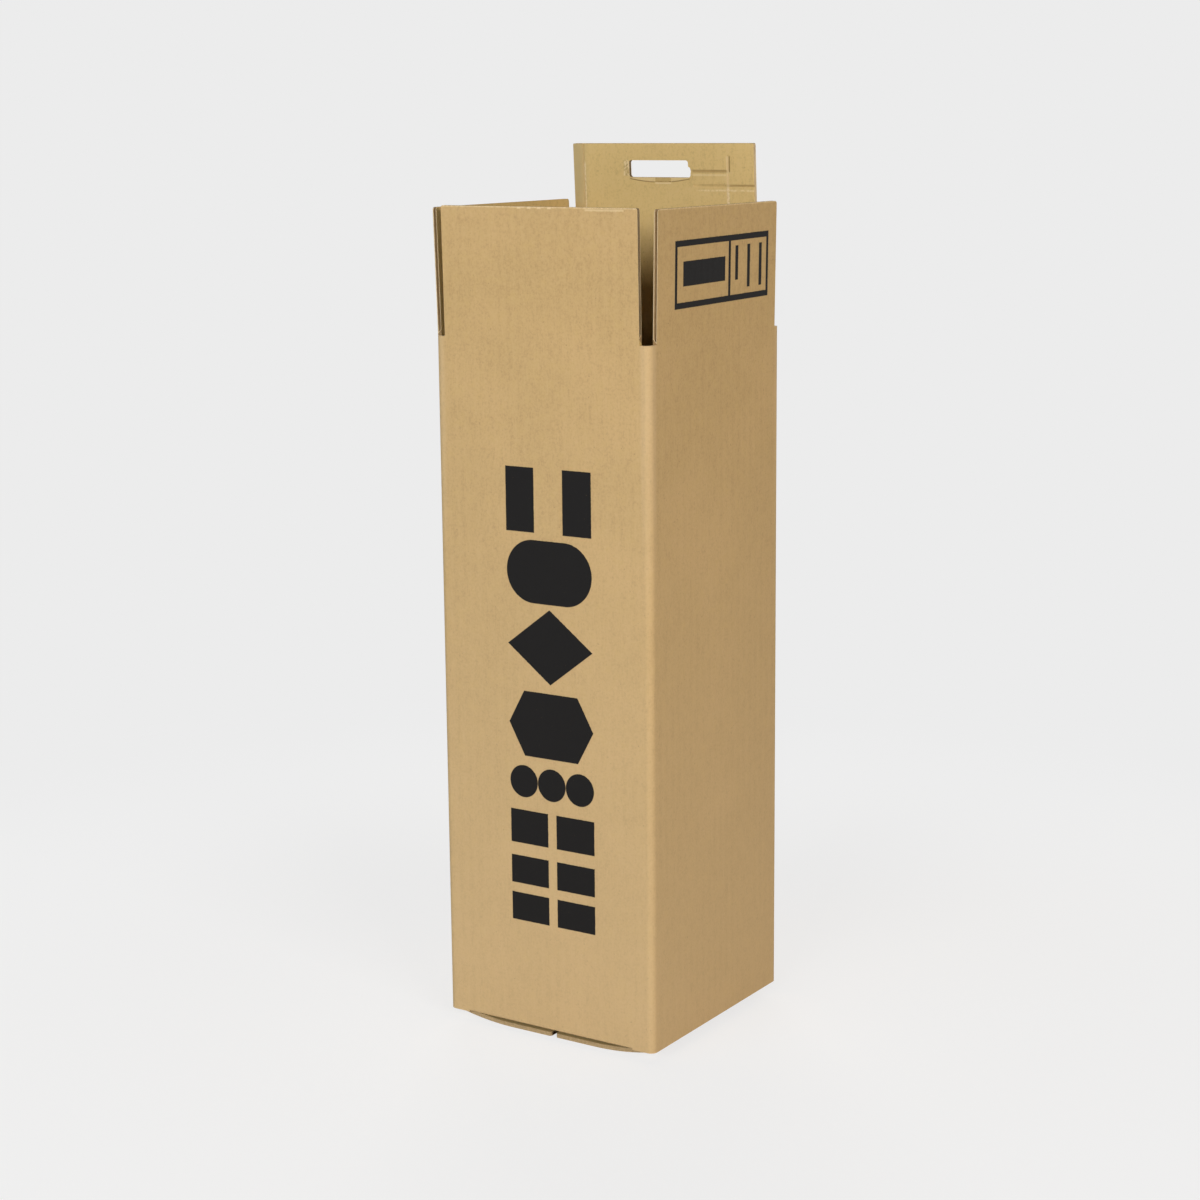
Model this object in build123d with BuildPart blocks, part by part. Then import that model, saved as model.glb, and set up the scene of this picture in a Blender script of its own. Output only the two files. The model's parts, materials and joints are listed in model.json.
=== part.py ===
from build123d import *
import math
import os

# Shipping carton for one bottle, in millimetres: a tall square box of corrugated board, folded from one
# sheet, that stands on its shut bottom with its top flaps open. The rear flap is longer than the others
# and has a hand-hold slot. The printed front faces -Y, +X is to its right, and the floor is at Z = 0.

# Board
BOARD = 2.6
FOLD_RELIEF_ANGLE = 1.0
FOLD_RADIUS = 1.6

# Carton, outside
WIDTH = 150.0
DEPTH = 150.0
PANEL_HEIGHT = 421.0
CORNER_RADIUS = 4.5

# Top scores: a flap that shuts over another is hinged one board higher
SLOT_BELOW_SCORE = 0.7
STACK_GAP = 0.3

# Top flaps: each side edge is set back from the end of its panel, seen from outside the box. Shut, three of
# the flaps stop short of the middle by a gap and the rear one reaches past it. A lean is out of upright.
FRONT_FLAP_LEFT_SETBACK = 7.2
FRONT_FLAP_RIGHT_SETBACK = 7.0
FRONT_FLAP_MIDDLE_GAP = 2.2
FRONT_FLAP_LEAN_ANGLE = 1.0
RIGHT_FLAP_LEFT_SETBACK = 7.5
RIGHT_FLAP_RIGHT_SETBACK = 6.6
RIGHT_FLAP_MIDDLE_GAP = 0.1
RIGHT_FLAP_LEAN_ANGLE = 0.9
REAR_FLAP_LEFT_SETBACK = 14.25
REAR_FLAP_RIGHT_SETBACK = 5.25
REAR_FLAP_LENGTH = 103.4
REAR_FLAP_LEAN_ANGLE = -3.0
LEFT_FLAP_LEFT_SETBACK = 6.6
LEFT_FLAP_RIGHT_SETBACK = 3.0
LEFT_FLAP_MIDDLE_GAP = 0.6
LEFT_FLAP_LEAN_ANGLE = 1.5
FRONT_FLAP_CORNER = 1.4
RIGHT_FLAP_CORNER = 2.0
REAR_FLAP_CORNER = 0.8
LEFT_FLAP_CORNER = 1.8

# Hand-hold slot in the rear flap, a little to the left of the flap's middle seen from the front
SLOT_WIDTH = 42.8
SLOT_HEIGHT = 10.5
SLOT_CORNER = 1.8
SLOT_OFF_MIDDLE = 2.6
SLOT_FROM_EDGE = 10.3

# Where the slot's blank tore the board on its way out: low at the slot's right end
TEAR_WIDTH = 1.6
TEAR_HEIGHT = 6.6

# Lines pressed into the inside of the rear flap: two upright and, right of the slot, two level
CREASE_WIDTH = 1.4
CREASE_DEPTH = 0.4
LEFT_CREASE_FROM_SIDE = 7.8
RIGHT_CREASE_FROM_SIDE = 18.2
RIGHT_CREASE_FROM_EDGE = 7.0
UPPER_CREASE_FROM_EDGE = 17.0
LOWER_CREASE_FROM_EDGE = 25.6
LOWER_CREASE_FROM_SLOT = 3.6

# Glued lap inside the left panel, which closes the sheet into a tube
LAP_WIDTH = 30.0
LAP_THICKNESS = 2.0
LAP_END_SETBACK = 10.0
LAP_END_SLOPE = 12.0
SEAM_WIDTH = 0.8

# Bottom: the inner flaps turn in from the front and rear, and the outer flaps bow down under them
BOTTOM_BOW = 5.8
BOTTOM_FLAT = 30.0
BOTTOM_GAP = 3.5
BOTTOM_SETBACK = 4.5
BOTTOM_FLAP_CORNER = 1.6
INNER_FLAP_SETBACK = 15.0
INNER_FLAP_MIDDLE_GAP = 2.0
INNER_FLAP_RISE_ANGLE = 7.0
INNER_FLAP_CHAMFER = 9.0

# Heights of the scores above the floor
bottom_score = BOTTOM_BOW
side_score = bottom_score + PANEL_HEIGHT
slot_bottom = side_score - SLOT_BELOW_SCORE
front_score = side_score + BOARD + STACK_GAP
rear_score = front_score + BOARD + STACK_GAP

# Each side of a fold is cut back on the inside by a little more than half a right angle
mitre_slope = math.tan(math.radians(45 + FOLD_RELIEF_ANGLE))


def score_plane(turn, distance, height, shift=0):
    """The outer face at a score: X runs along the score, Y up and Z out. A turn of 90 is the right side."""
    return Plane(Location((0, 0, height), (0, 0, turn)) * Location((shift, -distance, 0), (90, 0, 0)))


def leaning(score, lean):
    """A score's plane, turned about the score so that its Y leans out of upright."""
    return Plane(score.location * Location((0, 0, 0), (lean, 0, 0)))


def section_plane(score):
    """The cross-section of a score: X goes into the box from its outer face, and Y goes up."""
    return Plane(score.origin, x_dir=-score.z_dir, z_dir=score.x_dir)


def panel_score(turn, height, left_setback, right_setback):
    """A panel's score at a height, in the middle of its flap, and the width of the flap."""
    across, through = (WIDTH, DEPTH) if turn in (0, 180) else (DEPTH, WIDTH)
    shift = (left_setback - right_setback) / 2
    return score_plane(turn, through / 2, height, shift), across - left_setback - right_setback


front_panel = panel_score(0, front_score, FRONT_FLAP_LEFT_SETBACK, FRONT_FLAP_RIGHT_SETBACK)
right_panel = panel_score(90, side_score, RIGHT_FLAP_LEFT_SETBACK, RIGHT_FLAP_RIGHT_SETBACK)
rear_panel = panel_score(180, rear_score, REAR_FLAP_LEFT_SETBACK, REAR_FLAP_RIGHT_SETBACK)
left_panel = panel_score(270, side_score, LEFT_FLAP_LEFT_SETBACK, LEFT_FLAP_RIGHT_SETBACK)
top_folds = (front_panel, right_panel, rear_panel, left_panel)
side_feet = tuple(panel_score(turn, bottom_score, BOTTOM_SETBACK, BOTTOM_SETBACK) for turn in (90, 270))

# Body: the four panels, the lap and the inner bottom flaps, which are one folded sheet
fold_zone = 2 * BOARD
inner_flap_width = WIDTH - 2 * INNER_FLAP_SETBACK
left_panel_edge = DEPTH / 2 - CORNER_RADIUS
lap_root = DEPTH / 2 - BOARD
lap_edge = lap_root - LAP_WIDTH
lap_low = bottom_score + LAP_END_SETBACK
lap_high = slot_bottom - LAP_END_SETBACK


def tube_section():
    """The four panels seen from above, with their upright folds rounded."""
    RectangleRounded(WIDTH, DEPTH, CORNER_RADIUS)
    RectangleRounded(WIDTH - 2 * BOARD, DEPTH - 2 * BOARD, CORNER_RADIUS - BOARD, mode=Mode.SUBTRACT)


with BuildPart() as carton_body:
    with BuildSketch(Plane.XY.offset(bottom_score + fold_zone)):
        tube_section()
    extrude(amount=slot_bottom - bottom_score - fold_zone)

    # at the foot, only the side panels and the ends of the other two are plain upright board
    with BuildSketch(Plane.XY.offset(bottom_score)):
        tube_section()
        Rectangle(inner_flap_width, DEPTH, mode=Mode.SUBTRACT)
    extrude(amount=fold_zone)

    # inner bottom flaps: the board turns in round a fold and springs up a little
    along = Vector(1, 0).rotate(Axis.Z, INNER_FLAP_RISE_ANGLE)
    across = Vector(0, 1).rotate(Axis.Z, INNER_FLAP_RISE_ANGLE)
    tip = along * (DEPTH / 2 - INNER_FLAP_MIDDLE_GAP)
    upper_tip = tip + across * BOARD
    inner_corner = upper_tip - along * ((upper_tip.X - BOARD) / along.X)
    for turn in (0, 180):
        section = section_plane(score_plane(turn, DEPTH / 2, bottom_score))
        with BuildSketch(section):
            with BuildLine():
                FilletPolyline((0, fold_zone), (0, 0), tip, radius=FOLD_RADIUS)
                Polyline(tip, upper_tip, inner_corner, (BOARD, fold_zone), (0, fold_zone))
            make_face()
        extrude(amount=inner_flap_width / 2, both=True)
        board_way = section.x_dir * across.X + section.y_dir * across.Y
        tip_corners = carton_body.edges(Select.LAST).filter_by(Axis(section.origin, board_way))
        chamfer(tip_corners, INNER_FLAP_CHAMFER)

    # between the slots each panel runs up to its own score
    for fold, flap_width in top_folds:
        tongue = fold.origin.Z - slot_bottom
        with BuildSketch(section_plane(fold)):
            with Locations((BOARD / 2, -tongue / 2)):
                Rectangle(BOARD, tongue)
        extrude(amount=flap_width / 2, both=True)

    # every score with a hinged flap is opened on the inside, so that the flap turns square to its panel
    for folds, way in ((top_folds, -1), (side_feet, 1)):
        for fold, flap_width in folds:
            mitre_end = (CORNER_RADIUS, way * CORNER_RADIUS * mitre_slope)
            with BuildSketch(section_plane(fold)):
                with BuildLine():
                    Polyline((0, 0), (CORNER_RADIUS, 0), mitre_end, (0, 0))
                make_face()
            extrude(amount=flap_width / 2, both=True, mode=Mode.SUBTRACT)

    # the lap is stuck to the inside of the left panel, whose raw edge stops short of the rear fold
    with BuildSketch(Plane((-WIDTH / 2 + BOARD, 0, 0), x_dir=(0, 1, 0), z_dir=(1, 0, 0))):
        with BuildLine():
            Polyline((lap_root, lap_low), (lap_root, lap_high), (lap_edge, lap_high - LAP_END_SLOPE),
                     (lap_edge, lap_low + LAP_END_SLOPE), (lap_root, lap_low))
        make_face()
    extrude(amount=LAP_THICKNESS)
    with BuildSketch(Plane.XY.offset(bottom_score)):
        with Locations((-WIDTH / 2 + BOARD / 2, left_panel_edge - SEAM_WIDTH / 2)):
            Rectangle(BOARD, SEAM_WIDTH)
    extrude(amount=slot_bottom - bottom_score, mode=Mode.SUBTRACT)


# Top flaps
def top_flap(panel, length, lean, corner):
    """A flap that stands on its score, cut back on the inside there, with its two free corners rounded."""
    fold, width = panel
    face = leaning(fold, lean)
    with BuildPart() as flap:
        with BuildSketch(section_plane(face)):
            with BuildLine():
                Polyline((0, 0), (0, length), (BOARD, length), (BOARD, BOARD * mitre_slope), (0, 0))
            make_face()
        extrude(amount=width / 2, both=True)
        fillet(flap.edges().filter_by(Axis(face.origin, face.z_dir)), corner)
    return flap


front_length = DEPTH / 2 - FRONT_FLAP_MIDDLE_GAP
left_length = WIDTH / 2 - LEFT_FLAP_MIDDLE_GAP
right_length = WIDTH / 2 - RIGHT_FLAP_MIDDLE_GAP
front_top_flap = top_flap(front_panel, front_length, FRONT_FLAP_LEAN_ANGLE, FRONT_FLAP_CORNER)
left_top_flap = top_flap(left_panel, left_length, LEFT_FLAP_LEAN_ANGLE, LEFT_FLAP_CORNER)
right_top_flap = top_flap(right_panel, right_length, RIGHT_FLAP_LEAN_ANGLE, RIGHT_FLAP_CORNER)

# Rear flap, seen from behind: its X runs towards the left side of the box
rear_fold, rear_width = rear_panel
rear_face = leaning(rear_fold, REAR_FLAP_LEAN_ANGLE)
slot_foot = REAR_FLAP_LENGTH - SLOT_FROM_EDGE - SLOT_HEIGHT
slot_right = SLOT_OFF_MIDDLE - SLOT_WIDTH / 2
left_crease = rear_width / 2 - LEFT_CREASE_FROM_SIDE
right_crease = -rear_width / 2 + RIGHT_CREASE_FROM_SIDE
crease_foot = BOARD * mitre_slope
left_crease_length = REAR_FLAP_LENGTH - crease_foot
right_crease_length = left_crease_length - RIGHT_CREASE_FROM_EDGE
upper_crease_length = slot_right - right_crease
lower_crease_start = slot_right - LOWER_CREASE_FROM_SLOT
lower_crease_length = lower_crease_start + rear_width / 2

with BuildPart() as rear_handle_flap:
    add(top_flap(rear_panel, REAR_FLAP_LENGTH, REAR_FLAP_LEAN_ANGLE, REAR_FLAP_CORNER).part)
    with BuildSketch(rear_face):
        with Locations((slot_right, slot_foot)):
            RectangleRounded(SLOT_WIDTH, SLOT_HEIGHT, SLOT_CORNER, align=Align.MIN)
        with Locations((slot_right - TEAR_WIDTH, slot_foot)):
            RectangleRounded(SLOT_WIDTH / 2, TEAR_HEIGHT, SLOT_CORNER, align=Align.MIN)
    extrude(amount=-BOARD, mode=Mode.SUBTRACT)
    with BuildSketch(rear_face.offset(-BOARD)):
        with Locations((left_crease, crease_foot)):
            Rectangle(CREASE_WIDTH, left_crease_length, align=(Align.CENTER, Align.MIN))
        with Locations((right_crease, crease_foot)):
            Rectangle(CREASE_WIDTH, right_crease_length, align=(Align.CENTER, Align.MIN))
        with Locations((right_crease, REAR_FLAP_LENGTH - UPPER_CREASE_FROM_EDGE)):
            Rectangle(upper_crease_length, CREASE_WIDTH, align=(Align.MIN, Align.CENTER))
        with Locations((lower_crease_start, REAR_FLAP_LENGTH - LOWER_CREASE_FROM_EDGE)):
            Rectangle(lower_crease_length, CREASE_WIDTH, align=(Align.MAX, Align.CENTER))
    extrude(amount=CREASE_DEPTH, mode=Mode.SUBTRACT)

# Outer bottom flaps: each leaves its score sloping down, and flattens to lie on the floor beside the middle
bow_span = WIDTH / 2 - BOTTOM_FLAT
bow_radius = (bow_span ** 2 + BOTTOM_BOW ** 2) / (2 * BOTTOM_BOW)
upper_radius = bow_radius - BOARD
mitre_turn = math.asin(bow_span / bow_radius) - BOARD * mitre_slope / upper_radius
upper_start = (
    BOTTOM_FLAT + upper_radius * math.sin(mitre_turn),
    bow_radius - upper_radius * math.cos(mitre_turn),
)


def bottom_flap(turn):
    """A bowed flap under half of the bottom. In its section, X goes from the middle to the side panel."""
    side = score_plane(turn, 0, 0)
    with BuildPart() as flap:
        with BuildSketch(Plane((0, 0, 0), x_dir=side.z_dir, z_dir=-side.x_dir)):
            with BuildLine():
                Line((BOTTOM_GAP / 2, 0), (BOTTOM_FLAT, 0))
                TangentArc((BOTTOM_FLAT, 0), (WIDTH / 2, bottom_score), tangent=(1, 0))
                Line((WIDTH / 2, bottom_score), upper_start)
                TangentArc((BOTTOM_FLAT, BOARD), upper_start, tangent=(1, 0))
                Polyline((BOTTOM_FLAT, BOARD), (BOTTOM_GAP / 2, BOARD), (BOTTOM_GAP / 2, 0))
            make_face()
        extrude(amount=DEPTH / 2 - BOTTOM_SETBACK, both=True)
        fillet(flap.edges().filter_by(Axis.Z), BOTTOM_FLAP_CORNER)
    return flap


left_bottom_flap = bottom_flap(270)
right_bottom_flap = bottom_flap(90)

# One file for each piece
os.makedirs("parts", exist_ok=True)
pieces = {
    "carton_body": carton_body,
    "front_top_flap": front_top_flap,
    "left_top_flap": left_top_flap,
    "right_top_flap": right_top_flap,
    "rear_handle_flap": rear_handle_flap,
    "left_bottom_flap": left_bottom_flap,
    "right_bottom_flap": right_bottom_flap,
}
for name, piece in pieces.items():
    piece.part.label = name
    export_step(piece.part, f"parts/{name}.step")
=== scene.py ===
import json
import math

import bpy
from bpy.props import FloatProperty, FloatVectorProperty, IntProperty, PointerProperty
from mathutils import Matrix, Vector
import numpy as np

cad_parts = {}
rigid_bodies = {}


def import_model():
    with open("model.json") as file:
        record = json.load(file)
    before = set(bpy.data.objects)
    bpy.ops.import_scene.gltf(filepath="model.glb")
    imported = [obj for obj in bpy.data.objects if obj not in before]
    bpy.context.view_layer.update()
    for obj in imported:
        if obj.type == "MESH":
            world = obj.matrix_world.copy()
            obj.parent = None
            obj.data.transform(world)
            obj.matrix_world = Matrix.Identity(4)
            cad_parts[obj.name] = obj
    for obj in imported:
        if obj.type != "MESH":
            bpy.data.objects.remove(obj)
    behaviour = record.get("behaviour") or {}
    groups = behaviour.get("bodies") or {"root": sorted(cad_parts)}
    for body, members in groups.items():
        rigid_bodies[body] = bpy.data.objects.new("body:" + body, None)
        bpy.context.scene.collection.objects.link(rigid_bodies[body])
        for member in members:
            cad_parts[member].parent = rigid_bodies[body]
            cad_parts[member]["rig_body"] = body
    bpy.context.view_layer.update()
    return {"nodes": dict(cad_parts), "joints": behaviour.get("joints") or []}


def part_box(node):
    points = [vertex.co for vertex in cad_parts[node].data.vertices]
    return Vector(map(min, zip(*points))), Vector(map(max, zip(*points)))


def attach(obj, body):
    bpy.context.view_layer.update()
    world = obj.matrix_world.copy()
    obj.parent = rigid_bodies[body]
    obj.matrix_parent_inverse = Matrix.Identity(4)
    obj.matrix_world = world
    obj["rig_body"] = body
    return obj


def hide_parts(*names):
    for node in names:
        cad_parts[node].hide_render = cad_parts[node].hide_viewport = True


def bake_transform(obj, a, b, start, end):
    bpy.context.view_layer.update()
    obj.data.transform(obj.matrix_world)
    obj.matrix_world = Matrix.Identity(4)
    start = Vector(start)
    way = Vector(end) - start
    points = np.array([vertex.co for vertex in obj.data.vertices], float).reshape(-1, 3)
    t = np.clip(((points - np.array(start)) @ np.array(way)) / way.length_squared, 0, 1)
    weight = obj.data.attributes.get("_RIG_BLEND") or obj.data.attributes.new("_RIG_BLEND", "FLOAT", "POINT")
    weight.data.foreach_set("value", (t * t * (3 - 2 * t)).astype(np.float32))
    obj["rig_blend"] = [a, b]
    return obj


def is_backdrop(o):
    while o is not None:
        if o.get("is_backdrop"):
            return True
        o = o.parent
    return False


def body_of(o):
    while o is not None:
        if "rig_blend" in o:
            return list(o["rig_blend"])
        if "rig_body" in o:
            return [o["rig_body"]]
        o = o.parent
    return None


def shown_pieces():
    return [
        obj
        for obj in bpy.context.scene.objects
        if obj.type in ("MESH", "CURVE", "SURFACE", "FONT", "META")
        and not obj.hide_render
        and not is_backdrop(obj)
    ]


bl_info = {
    "name": "Bottle Shipping Box",
    "version": (1, 0, 0),
    "blender": (4, 5, 0),
    "location": "View3D > Sidebar > Bottle Box",
    "description": "Builds the corrugated boards of a folded bottle box and the stage that it stands on",
    "category": "Object",
}

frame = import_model()
NODES = frame["nodes"]
HINGES = {joint["child"]: joint for joint in frame["joints"]}

MM = 0.001
WELD = 1e-6
X_AXIS = Vector((1, 0, 0))
Y_AXIS = Vector((0, 1, 0))
Z_AXIS = Vector((0, 0, 1))


def linear(red, green, blue):
    """A colour given as it looks on a screen, from 0 to 255, in the linear values that shaders use."""
    shares = [value / 255 for value in (red, green, blue)]
    return tuple(s / 12.92 if s <= 0.04045 else ((s + 0.055) / 1.055) ** 2.4 for s in shares)


def length_property(name, description, default):
    """A length in metres, shown in the scene's unit."""
    return FloatProperty(name=name, description=description, default=default, min=0.0, precision=5,
                         unit="LENGTH")


def colour_property(name, description, default):
    """A colour in linear values."""
    return FloatVectorProperty(name=name, description=description, default=default, size=3, min=0.0, max=1.0,
                               subtype="COLOR")


def range_property(name, description, default):
    """The low and high end of a stretch, in metres."""
    return FloatVectorProperty(name=name, description=description, default=default, size=2, unit="LENGTH",
                               precision=5)


class BoardSizes(bpy.types.PropertyGroup):
    """The make-up of the corrugated board, and the forms that its frame doesn't tell."""

    thickness: length_property("Board thickness", "Thickness of the whole board", 2.6 * MM)
    liner: length_property("Liner thickness", "Thickness of each flat layer", 0.32 * MM)
    creased_liner: length_property("Creased liner", "Inner liner of the flap with pressed lines", 0.5 * MM)
    medium: length_property("Medium thickness", "Thickness of the wavy layer", 0.22 * MM)
    pitch: length_property("Flute pitch", "From one crest of the wavy layer to the next", 7.0 * MM)
    wave_steps: IntProperty(name="Steps to a wave", description="Facets in each wave", default=12, min=6)
    mitre: FloatProperty(name="Mitre", description="Slope of the cut at each fold", default=math.radians(46),
                         subtype="ANGLE")
    corner: length_property("Corner", "Outer radius of the upright folds", 4.5 * MM)
    bottom_flat: length_property("Bottom flat", "Half width of the flat that the box rests on", 30 * MM)
    bottom_clear: length_property("Clear of the fold", "Where the hollow of a bottom flap stops", 3.3 * MM)
    bend_steps: IntProperty(name="Steps to a bend", description="Facets in each bowed bottom flap", default=8)


class BoardColours(bpy.types.PropertyGroup):
    """Colours of the layers of the board and of its print."""

    outside: colour_property("Outer liner", "Kraft liner on the outside", linear(196, 164, 113))
    outside_warm: colour_property("Outer liner, warm", "Pinker patches of the outer liner",
                                  linear(201, 168, 117))
    outside_dull: colour_property("Outer liner, dull", "Yellower patches of the outer liner",
                                  linear(199, 167, 110))
    inside: colour_property("Inner liner", "Yellower liner on the inside", linear(213, 183, 122))
    raw_edge: colour_property("Cut edge", "Cut edge of the liners", linear(222, 198, 156))
    crushed: colour_property("Crushed edge", "Side edges of the bottom flaps", linear(184, 158, 118))
    medium: colour_property("Medium", "The wavy layer", linear(158, 130, 92))
    # Painted shade: the faces of the hollow between the liners get this dark colour, standing in for the
    # shade inside the board.
    hollow: colour_property("Hollow", "The sides of the liners that face the wavy layer", linear(104, 82, 55))
    # This pale colour is wear on the folds and random paler tone, and also painted bounce light: the outer
    # liner of the tube pales towards the floor.
    worn: colour_property("Worn fold and bounce", "Rubbed liner along the upright folds", linear(214, 187, 147))
    fleck: colour_property("Fleck", "Dark fibres in the liner", linear(120, 92, 58))
    # Painted shade: this colour darkens the inner liner low in the tube and the outer liner where it turns in
    # under the panels.
    deep_painted_shade: colour_property("Deep inside", "The inner liner far down in the tube", linear(90, 68, 42))
    # Painted shade: the stretch of the rear flap beside its left crease is greyed, standing in for a strip
    # bent away from the light.
    painted_bend_shade: colour_property("Painted bend shade", "Greyer stretch of the flap beside its left crease",
                           linear(158, 143, 110))
    # Painted highlight on the ridges of the pressed lines and on the lip and tongue under the slot; the same
    # pale colour is also the rubbed liner at the slot's end and along the flaps' top edges.
    ridge_highlight_and_wear: colour_property("Ridge", "Liner that stands proud beside a pressed line", linear(238, 216, 172))
    pressed: colour_property("Pressed line", "Liner in the shade of a pressed line", linear(142, 114, 68))
    ink: colour_property("Ink", "Black print", linear(24, 22, 21))


class CreaseSizes(bpy.types.PropertyGroup):
    """The lines pressed into the inside of the rear flap, and the marks beside its hand-hold slot."""

    left: length_property("Left crease", "How far left of the middle the left upright line is", 61.95 * MM)
    left_run: range_property("Left crease, run", "Foot and top of what shows of it", (487 * MM, 524.5 * MM))
    right: length_property("Right crease", "How far right of it the right upright line is", 42.55 * MM)
    right_top: length_property("Right crease, top", "Height that the right upright line reaches", 528.8 * MM)
    upper: length_property("Upper crease", "Height of the upper level line", 518.9 * MM)
    lower: length_property("Lower crease", "Height of the lower level line", 510.3 * MM)
    slot: range_property("Slot", "Left and right end of the hand-hold slot", (-28.5 * MM, 15.9 * MM))
    slot_foot: length_property("Slot foot", "Height of the foot of the slot", 515.1 * MM)
    tongue: length_property("Tongue", "How far right of the slot's middle the tongue under it is", 2.4 * MM)
    tongue_width: length_property("Tongue width", "Width of the tongue", 12 * MM)


class PrintSizes(bpy.types.PropertyGroup):
    """Where the black shapes on the front panel and the frame on the right flap lie."""

    column: range_property("Column", "Left and right side of the column of shapes", (-25.7 * MM, 34.5 * MM))
    stripes: range_property("Stripes", "Heights of the two upright stripes", (313.3 * MM, 351.9 * MM))
    pill: range_property("Pill", "Heights of the round-ended bar", (271.0 * MM, 309.0 * MM))
    lozenge: range_property("Lozenge", "Heights of the lozenge", (222.5 * MM, 268.0 * MM))
    hexagon: range_property("Hexagon", "Heights of the hexagon", (177.0 * MM, 217.1 * MM))
    discs: range_property("Discs", "Heights of the row of discs", (151.0 * MM, 171.0 * MM))
    dashes: range_property("Dashes", "Heights of the two dashes", (122.0 * MM, 143.0 * MM))
    blocks: range_property("Blocks", "Heights of the four blocks", (72.9 * MM, 114.0 * MM))
    frame_sides: range_property("Frame sides", "Front and rear side of the frame", (-48.6 * MM, 58.9 * MM))
    frame_heights: range_property("Frame heights", "Foot and top of the frame", (445.1 * MM, 483.8 * MM))
    frame_bar: length_property("Frame bar", "Width of its level bars", 3.5 * MM)
    frame_line: length_property("Frame line", "Width of its upright lines", 2.6 * MM)
    divider: length_property("Divider", "Where its inner line stands", 12.9 * MM)


class StageSettings(bpy.types.PropertyGroup):
    """The floor, the lights and the camera."""

    backdrop: colour_property("Backdrop", "Colour of the floor and of what is behind", linear(236, 236, 236))
    warm: colour_property("Warm light", "Tint of the key light and the surroundings", (1.0, 0.956, 0.908))
    cool: colour_property("Cool light", "Tint of the fill light", (0.28, 0.63, 1.0))
    key_power: FloatProperty(name="Key lights", description="Power of each of the two broad lights, left "
                             "and right of the camera", default=67.0, unit="POWER")
    fill_power: FloatProperty(name="Fill light", description="Power of the weak light in front on the left",
                              default=21.0, unit="POWER")
    back_power: FloatProperty(name="Back light", description="Power of the low light behind", default=80.0,
                              unit="POWER")
    top_power: FloatProperty(name="Top light", description="Power of the lamp overhead, which lights the cut "
                             "edges and the inside", default=12.0, unit="POWER")
    ring_light: FloatProperty(name="Ring light", description="Brightness of the surroundings a little above "
                              "the horizon", default=1.2)
    floor_lift: FloatProperty(name="Floor lift", description="Share of the floor's look that is even",
                              default=0.7)
    floor_glow: FloatProperty(name="Floor glow", description="How much brighter the even share is near the "
                              "box, to make up for the matt share", default=0.23)
    camera_place: FloatVectorProperty(name="Camera place", description="Where the camera stands",
                                      default=(0.7957, -1.2306, 0.5557), size=3, subtype="TRANSLATION",
                                      unit="LENGTH")
    camera_yaw: FloatProperty(name="Yaw", description="Turn to the left from straight ahead",
                              default=math.radians(33.18), subtype="ANGLE")
    camera_pitch: FloatProperty(name="Pitch", description="Tilt down from level", default=math.radians(11.38),
                                subtype="ANGLE")
    camera_roll: FloatProperty(name="Roll", description="Turn about the line of sight",
                               default=math.radians(-0.55), subtype="ANGLE")
    camera_lens: FloatProperty(name="Lens", description="Focal length in millimetres", default=72.9)


class BottleBoxSettings(bpy.types.PropertyGroup):
    """All that a user would change."""

    board: PointerProperty(type=BoardSizes)
    colours: PointerProperty(type=BoardColours)
    creases: PointerProperty(type=CreaseSizes)
    print_sizes: PointerProperty(type=PrintSizes)
    stage: PointerProperty(type=StageSettings)


def settings():
    """The settings that the scene holds."""
    return bpy.context.scene.bottle_box


class Field:
    """A socket whose value varies over a surface, so that shader maths reads as an expression."""

    def __init__(self, bench, socket):
        self.bench = bench
        self.socket = socket

    def maths(self, operation, *values):
        return self.bench.node("ShaderNodeMath", {"operation": operation}, dict(enumerate(values)))

    def __add__(self, other):
        return self.maths("ADD", self, other)

    def __sub__(self, other):
        return self.maths("SUBTRACT", self, other)

    def __rsub__(self, other):
        return self.maths("SUBTRACT", other, self)

    def __mul__(self, other):
        return self.maths("MULTIPLY", self, other)

    def __truediv__(self, other):
        return self.maths("DIVIDE", self, other)

    def __abs__(self):
        return self.maths("ABSOLUTE", self)

    __radd__ = __add__
    __rmul__ = __mul__

    def smaller(self, other):
        return self.maths("MINIMUM", self, other)

    def larger(self, other):
        return self.maths("MAXIMUM", self, other)

    def sine(self):
        return self.maths("SINE", self)

    def root(self):
        return self.maths("SQRT", self)

    def clamped(self):
        return self.larger(0.0).smaller(1.0)

    def rise(self, start, end):
        """0 before start and 1 after end, with a smooth way between them. Start may be the larger."""
        return self.bench.node("ShaderNodeMapRange", {"interpolation_type": "SMOOTHSTEP"},
                               {"Value": self, "From Min": start, "From Max": end})


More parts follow.
